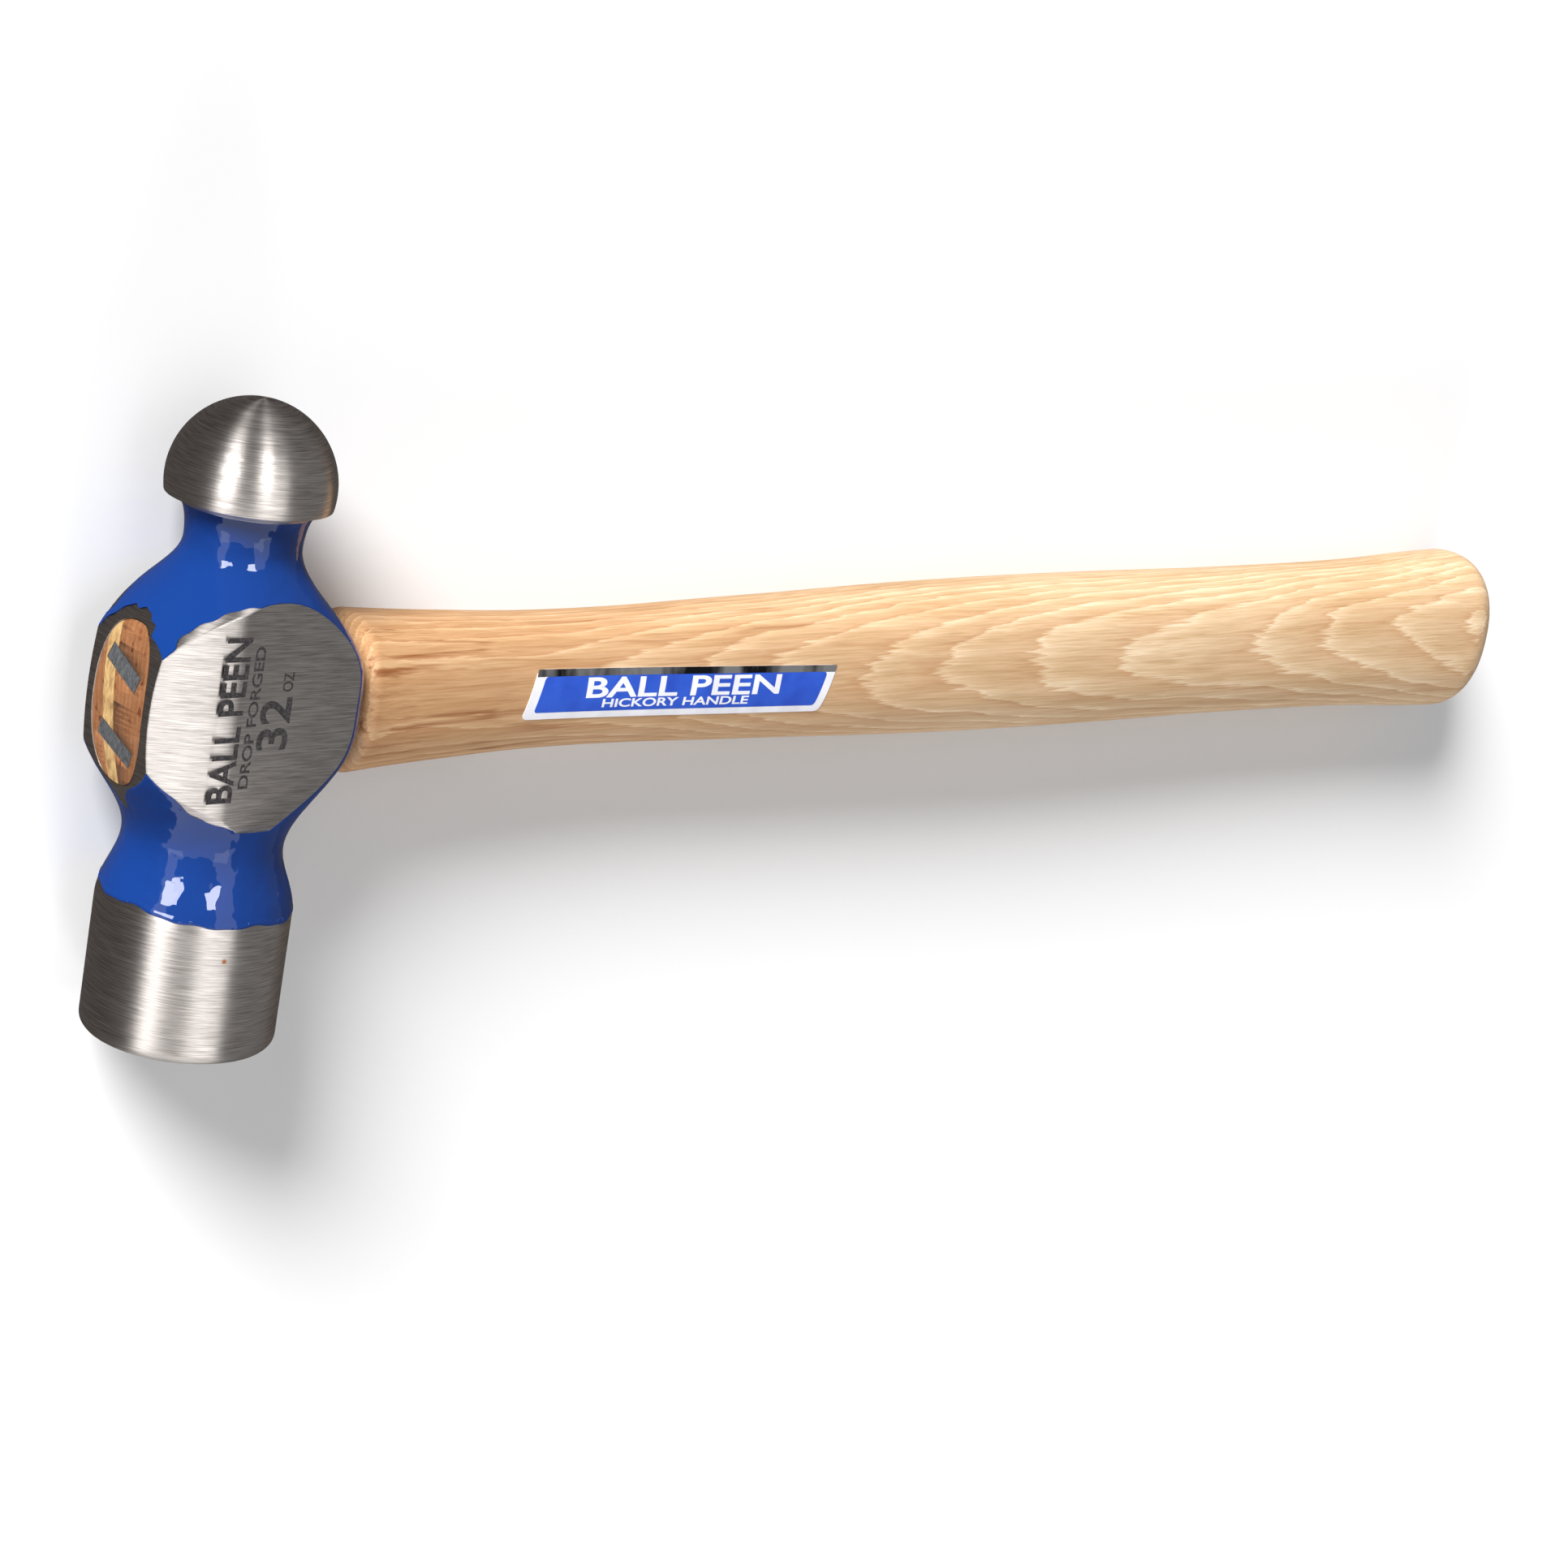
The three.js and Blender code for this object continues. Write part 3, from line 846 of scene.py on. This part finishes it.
for name, start, end, at_start, at_end in (
    ("head", -0.16, 0.04, 1.0, 0.0),
    ("eye", -0.1965, -0.199, 0.0, 1.0),
):
    near[name] = add(
        tree, "ShaderNodeMapRange",
        inputs={
            "Value": along_hammer, "From Min": start, "From Max": end,
            "To Min": at_start, "To Max": at_end,
        },
    ).outputs["Result"]
shade = rings.outputs["Color"]
for factor, tint in (
    (0.85, figure_tone["fibre"]),
    (0.8, figure_tone["streak"]),
    (near["head"], colour("e6d1bc")),
    (near["head"], figure_tone["vein"]),
    (near["eye"], colour("b8a08e")),
):
    shade = add(
        tree, "ShaderNodeMix", {"data_type": "RGBA", "blend_type": "MULTIPLY"},
        {"Factor": factor, 6: shade, 7: tint},
    ).outputs[2]
tree.links.new(shade, surface.inputs["Base Color"])
ridges = add(
    tree, "ShaderNodeBump",
    inputs={"Height": figure["fibre"], "Strength": 0.15, "Distance": 0.00005},
)
tree.links.new(ridges.outputs["Normal"], surface.inputs["Normal"])

SHOULDER = 25.0
HANDLE_REACH = 381.0
BUTT_LENGTH = 12.5
SHOULDER_ROUNDING = 4.0
DOME_POWER = 2.6
GRIP_HALF_HEIGHTS = (
    (0, 16.5), (0.065, 15.2), (0.15, 14.3), (0.305, 15.5), (0.47, 17.2),
    (0.605, 17.7), (0.77, 17.6), (0.9, 18.3), (0.96, 19.4), (1, 19.9),
)
GRIP_HALF_WIDTHS = (
    (0, 12.6), (0.065, 11.5), (0.15, 10.8), (0.305, 11.7), (0.47, 13.1),
    (0.605, 13.5), (0.77, 13.4), (0.9, 13.9), (0.96, 14.3), (1, 14.5),
)
shape = bpy.data.node_groups.new("turned grip", "GeometryNodeTree")
sockets = {}
for name, kind, value in (
    ("Grow", "NodeSocketFloat", 0.0),
    ("Rings", "NodeSocketInt", 300),
    ("Sides", "NodeSocketInt", 144),
    ("Squareness", "NodeSocketFloat", 2.3),
):
    sockets[name] = shape.interface.new_socket(name=name, in_out="INPUT", socket_type=kind)
    sockets[name].default_value = value
shape.interface.new_socket(name="Geometry", in_out="OUTPUT", socket_type="NodeSocketGeometry")
given = add(shape, "NodeGroupInput")


# Two curves carry the grip's half sizes along it, as a share of 20 mm.
shares = []
for stations in (GRIP_HALF_HEIGHTS, GRIP_HALF_WIDTHS):
    share = add(shape, "ShaderNodeFloatCurve")
    points = share.mapping.curves[0].points
    points[0].location = (stations[0][0], stations[0][1] / 20)
    points[1].location = (stations[-1][0], stations[-1][1] / 20)
    for at, half in stations[1:-1]:
        points.new(at, half / 20)
    share.mapping.update()
    shares.append(share)
sheet_point = add(shape, "GeometryNodeInputPosition")
where = add(shape, "ShaderNodeSeparateXYZ", inputs={0: sheet_point.outputs[0]})
known = {
    "x": where.outputs["X"],
    "y": where.outputs["Y"],
    "grow": given.outputs["Grow"],
    "sides": given.outputs["Sides"],
    "squareness": given.outputs["Squareness"],
    "height share": shares[0].outputs[0],
    "width share": shares[1].outputs[0],
}
STRAIGHT = HANDLE_REACH - BUTT_LENGTH - SHOULDER - SHOULDER_ROUNDING
# Each row names a value and gives the sum that makes it out of numbers and earlier values.
for name, operation, *terms in (
    ("columns", "ADD", "sides", 1.0),
    ("run", "ADD", "x", 0.5),
    ("turn", "MULTIPLY", "y", 2 * pi),
    ("half turn", "MULTIPLY", "run", pi),
    ("swing", "COSINE", "half turn"),
    ("eased run", "MULTIPLY_ADD", "swing", -0.5, 0.5),
    ("along", "MULTIPLY_ADD", "eased run", HANDLE_REACH - SHOULDER, SHOULDER),
    ("past rounding", "SUBTRACT", "along", SHOULDER + SHOULDER_ROUNDING),
    ("station", "DIVIDE", "past rounding", STRAIGHT),
    ("past shoulder", "SUBTRACT", "along", SHOULDER),
    ("rounding run", "DIVIDE", "past shoulder", SHOULDER_ROUNDING),
    ("rounding to go", "SUBTRACT", 1.0, "rounding run"),
    ("nose", "MAXIMUM", "rounding to go", 0.0),
    ("nose squared", "MULTIPLY", "nose", "nose"),
    ("nose left", "SUBTRACT", 1.0, "nose squared"),
    ("nose kept", "MAXIMUM", "nose left", 0.0),
    ("nose arc", "SQRT", "nose kept"),
    ("round in", "SUBTRACT", 1.0, "nose arc"),
    ("inset", "MULTIPLY", "round in", SHOULDER_ROUNDING),
    ("into butt", "SUBTRACT", "along", HANDLE_REACH - BUTT_LENGTH),
    ("butt run", "DIVIDE", "into butt", BUTT_LENGTH),
    ("tail", "MAXIMUM", "butt run", 0.0),
    ("tail power", "POWER", "tail", DOME_POWER),
    ("tail left", "SUBTRACT", 1.0, "tail power"),
    ("tail kept", "MAXIMUM", "tail left", 0.0),
    ("closing", "POWER", "tail kept", 1 / DOME_POWER),
    ("past first ring", "GREATER_THAN", "run", 0.0005),
    ("before last ring", "LESS_THAN", "run", 0.9995),
    ("closed", "MULTIPLY", "past first ring", "before last ring"),
    ("across", "COSINE", "turn"),
    ("upward", "SINE", "turn"),
    ("across size", "ABSOLUTE", "across"),
    ("upward size", "ABSOLUTE", "upward"),
    ("across power", "POWER", "across size", "squareness"),
    ("upward power", "POWER", "upward size", "squareness"),
    ("power sum", "ADD", "across power", "upward power"),
    ("root", "DIVIDE", -1.0, "squareness"),
    ("oval", "POWER", "power sum", "root"),
    ("full height", "MULTIPLY", "height share", 20.0),
    ("bare height", "SUBTRACT", "full height", "inset"),
    ("domed height", "MULTIPLY", "bare height", "closing"),
    ("grown height", "ADD", "domed height", "grow"),
    ("closed height", "MULTIPLY", "grown height", "closed"),
    ("oval height", "MULTIPLY", "closed height", "oval"),
    ("skin y", "MULTIPLY", "across", "oval height"),
    ("full width", "MULTIPLY", "width share", 20.0),
    ("bare width", "SUBTRACT", "full width", "inset"),
    ("domed width", "MULTIPLY", "bare width", "closing"),
    ("grown width", "ADD", "domed width", "grow"),
    ("closed width", "MULTIPLY", "grown width", "closed"),
    ("oval width", "MULTIPLY", "closed width", "oval"),
    ("skin z", "MULTIPLY", "upward", "oval width"),
):
    values = {i: known[t] if isinstance(t, str) else t for i, t in enumerate(terms)}
    known[name] = add(shape, "ShaderNodeMath", {"operation": operation}, values).outputs[0]
for share in shares:
    shape.links.new(known["station"], share.inputs["Value"])
sheet = add(
    shape, "GeometryNodeMeshGrid",
    inputs={
        "Size X": 1.0, "Size Y": 1.0,
        "Vertices X": given.outputs["Rings"], "Vertices Y": known["columns"],
    },
)
target = add(
    shape, "ShaderNodeCombineXYZ",
    inputs={"X": known["along"], "Y": known["skin y"], "Z": known["skin z"]},
)
wrapped = add(
    shape, "GeometryNodeSetPosition",
    inputs={"Geometry": sheet.outputs["Mesh"], "Position": target.outputs[0]},
)
sewn = add(
    shape, "GeometryNodeMergeByDistance",
    inputs={"Geometry": wrapped.outputs[0], "Distance": 0.0005},
)
sized = add(
    shape, "GeometryNodeTransform",
    inputs={"Geometry": sewn.outputs[0], "Translation": eye_middle, "Scale": (0.001, 0.001, 0.001)},
)
real = add(shape, "GeometryNodeRealizeInstances", inputs={"Geometry": sized.outputs[0]})
dressed = add(
    shape, "GeometryNodeSetMaterial",
    inputs={"Geometry": real.outputs[0], "Material": hickory},
)
add(shape, "NodeGroupOutput", inputs={"Geometry": dressed.outputs[0]})


def turned_grip(name, grow):
    """The grip's outside as a plain mesh, larger all round by grow millimetres."""
    piece = new_object(name, [], [])
    lathe = piece.modifiers.new("lathe", "NODES")
    lathe.node_group = shape
    lathe[sockets["Grow"].identifier] = float(grow)
    make_plain(piece, lathe)
    tidy(piece)
    return piece


handle = turned_grip("hickory_handle", 0)
tenon = bpy.data.objects.new("tenon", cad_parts["handle"].data.copy())
scene.collection.objects.link(tenon)
tidy(tenon)
eye_room = prism("eye_room", [(-30, -20), (26, -20), (26, 20), (-30, 20)], -20, 20)
carve(tenon, eye_room, "INTERSECT")
carve(handle, tenon, "UNION")
handle.data.shade_smooth()
handle.data.set_sharp_from_angle(angle=radians(35))
handle.data.materials.append(hickory)
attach(handle, "root")
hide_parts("handle")

# ---------------------------------------------------------------- wedges
# A softer wooden wedge splits the tenon lengthwise and two rough steel wedges are driven
# across it. They stay as they were made and only take their finishes here.
# Poplar: greenish straw, with short darker grain across its cut end.
pale_wood, tree, surface = new_material("poplar")
surface.inputs["Roughness"].default_value = 0.7
place = add(tree, "ShaderNodeTexCoord").outputs["Object"]
cut_end = add(tree, "ShaderNodeMapping", inputs={"Vector": place, "Scale": (60, 350, 900)})
pale_grain = add(
    tree, "ShaderNodeTexNoise",
    inputs={"Vector": cut_end.outputs["Vector"], "Scale": 1, "Detail": 4, "Roughness": 0.6},
)
pale_tone = add(
    tree, "ShaderNodeValToRGB", inputs={"Fac": pale_grain.outputs["Fac"]},
    stops=((0.35, "86653c"), (0.62, "b89763")),
)
tree.links.new(pale_tone.outputs["Color"], surface.inputs["Base Color"])

# Rolled mild steel: dull grey, a little scaled and dented by the hammer that drove it.
black_steel, tree, surface = new_material("rolled mild steel")
surface.inputs["Metallic"].default_value = 0.5
surface.inputs["Roughness"].default_value = 0.55
place = add(tree, "ShaderNodeTexCoord").outputs["Object"]
rolled = add(tree, "ShaderNodeMapping", inputs={"Vector": place, "Scale": (300, 900, 2600)})
scale = add(
    tree, "ShaderNodeTexNoise",
    inputs={"Vector": rolled.outputs["Vector"], "Scale": 1, "Detail": 4, "Roughness": 0.6},
)
scale_tone = add(
    tree, "ShaderNodeValToRGB", inputs={"Fac": scale.outputs["Fac"]},
    stops=((0.35, "4a4c4e"), (0.65, "75777a")),
)
tree.links.new(scale_tone.outputs["Color"], surface.inputs["Base Color"])
dents = add(
    tree, "ShaderNodeBump",
    inputs={"Height": scale.outputs["Fac"], "Strength": 0.5, "Distance": 0.0002},
)
tree.links.new(dents.outputs["Normal"], surface.inputs["Normal"])
for node_name, finish in (
    ("wooden_wedge", pale_wood),
    ("steel_wedge_upper", black_steel),
    ("steel_wedge_lower", black_steel),
):
    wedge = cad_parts[node_name]
    wedge.data.materials.clear()
    wedge.data.materials.append(finish)

# ---------------------------------------------------------------- label
# A slanted vinyl label is wrapped on the upper side of the grip: a white film with a
# printed blue panel, white words, and a strip of silver foil along its upper edge.
LABEL_X, LABEL_Y, LABEL_TURN = 109.0, -0.8, -1.5


def leaning_outline(length, height, slant, corner, shift_x, shift_y):
    """A leaning rectangle with rounded corners, turned and set where the label is."""
    low, high = (length - slant) / 2, (length + slant) / 2
    corners = [
        Vector((-high, -height / 2)), Vector((low, -height / 2)),
        Vector((high, height / 2)), Vector((-low, height / 2)),
    ]
    points = []
    for i, at in enumerate(corners):
        before = at + (corners[i - 1] - at).normalized() * corner
        after = at + (corners[(i + 1) % 4] - at).normalized() * corner
        for k in range(9):
            t = k / 8
            points.append(before * (1 - t) ** 2 + at * 2 * t * (1 - t) + after * t * t)
    spin = Matrix.Rotation(radians(LABEL_TURN), 2)
    moved = [spin @ (p + Vector((shift_x, shift_y))) for p in points]
    return [(p.x + LABEL_X, p.y + LABEL_Y) for p in moved]


def wrapped_on_grip(piece, low, high, finish):
    """Keeps what lies from low to high millimetres above the wood, and gives it its finish."""
    outside = turned_grip("outside", high)
    inside = turned_grip("inside", low)
    carve(piece, outside, "INTERSECT")
    carve(piece, inside)
    tidy(piece)
    piece.data.shade_smooth()
    piece.data.set_sharp_from_angle(angle=radians(35))
    piece.data.materials.clear()
    piece.data.materials.append(finish)
    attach(piece, "root")


def printed_sheet(tree, surface, dull, bright):
    """Glossy film with faint cloudy patches and a soft unevenness from the wood beneath."""
    surface.inputs["Roughness"].default_value = 0.3
    surface.inputs["Coat Weight"].default_value = 0.5
    place = add(tree, "ShaderNodeTexCoord").outputs["Object"]
    clouds = add(
        tree, "ShaderNodeTexNoise", inputs={"Vector": place, "Scale": 180, "Detail": 3},
    )
    cloudy = add(
        tree, "ShaderNodeValToRGB", inputs={"Fac": clouds.outputs["Fac"]},
        stops=((0.35, dull), (0.65, bright)),
    )
    tree.links.new(cloudy.outputs["Color"], surface.inputs["Base Color"])
    uneven = add(
        tree, "ShaderNodeBump",
        inputs={"Height": clouds.outputs["Fac"], "Strength": 0.1, "Distance": 0.0002},
    )
    tree.links.new(uneven.outputs["Normal"], surface.inputs["Normal"])


vinyl, tree, surface = new_material("white vinyl")
printed_sheet(tree, surface, "e2e2e9", "eeeef4")
blue_ink, tree, surface = new_material("blue printing ink")
printed_sheet(tree, surface, "224ab8", "2b58c8")
# Foil: a creased mirror with painted reflections in its colour, long patches of black and white.
foil, tree, surface = new_material("silver foil")
surface.inputs["Metallic"].default_value = 1
surface.inputs["Roughness"].default_value = 0.12
place = add(tree, "ShaderNodeTexCoord").outputs["Object"]
reflection_stretch = add(
    tree, "ShaderNodeMapping", inputs={"Vector": place, "Scale": (95, 30, 30)},
)
painted_reflection_mask = add(
    tree, "ShaderNodeTexNoise",
    inputs={"Vector": reflection_stretch.outputs["Vector"], "Scale": 1, "Detail": 3, "Roughness": 0.6},
)
# Painted reflection: long patches of near black and near white are laid into the foil's colour.
painted_reflection = add(
    tree, "ShaderNodeValToRGB", inputs={"Fac": painted_reflection_mask.outputs["Fac"]},
    stops=((0.44, "3a3a3e"), (0.60, "fafafc")),
)
tree.links.new(painted_reflection.outputs["Color"], surface.inputs["Base Color"])
crinkle = add(tree, "ShaderNodeTexNoise", inputs={"Vector": place, "Scale": 90, "Detail": 3})
creased = add(
    tree, "ShaderNodeBump",
    inputs={"Height": crinkle.outputs["Fac"], "Strength": 0.6, "Distance": 0.002},
)
tree.links.new(creased.outputs["Normal"], surface.inputs["Normal"])

PRISM_LOW, PRISM_HIGH = 2, 20
film_outline = leaning_outline(82, 10.7, 2.5, 1.6, 0, 0)
film = prism("label_film", film_outline, PRISM_LOW, PRISM_HIGH)
wrapped_on_grip(film, 0.0, 0.14, vinyl)
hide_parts("label")
panel_outline = leaning_outline(77.3, 7.7, 1.8, 1.0, 0.1, 0)
panel = prism("label_panel", panel_outline, PRISM_LOW, PRISM_HIGH)
wrapped_on_grip(panel, 0.08, 0.17, blue_ink)
foil_outline = leaning_outline(81.8, 1.5, 0.35, 0.2, 1.08, 4.6)
strip = prism("label_foil", foil_outline, PRISM_LOW, PRISM_HIGH)
wrapped_on_grip(strip, 0.08, 0.18, foil)


LONGEST_EDGE = 0.001
ABOVE_ALL = 0.2


def drape_on_grip(piece, low, high):
    """Splits flat letters finely and lays them on the grip, low to high millimetres above it."""
    half_way = eye_middle.z + 0.010
    cloth = bmesh.new()
    cloth.from_mesh(piece.data)
    for _ in range(4):
        long_edges = [e for e in cloth.edges if e.calc_length() > LONGEST_EDGE]
        bmesh.ops.subdivide_edges(cloth, edges=long_edges, cuts=1)
        bmesh.ops.triangulate(cloth, faces=[f for f in cloth.faces if len(f.verts) > 3])
    for v in cloth.verts:
        above = (low if v.co.z < half_way else high) / 1000
        start = Vector((v.co.x, v.co.y, ABOVE_ALL))
        wood = handle.ray_cast(start, Vector((0, 0, -1)))[1]
        v.co.z = wood.z + above
    cloth.to_mesh(piece.data)
    cloth.free()
    tidy(piece)


for name, words, length, height, heavy, x, y in (
    ("label_words", "BALL PEEN", 53, 4.4, 0.2, 0.2, 1.3),
    ("label_small_words", "HICKORY HANDLE", 40, 1.9, 0.2, -1.5, -2.15),
):
    printed = lettering(name, words, length, height, heavy, PRISM_LOW, PRISM_HIGH)
    shift = Matrix.Rotation(radians(LABEL_TURN), 2) @ Vector((x, y))
    place_words(printed, LABEL_TURN, LABEL_X + shift.x, LABEL_Y + shift.y)
    drape_on_grip(printed, 0.10, 0.19)
    printed.data.materials.append(vinyl)
    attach(printed, "root")
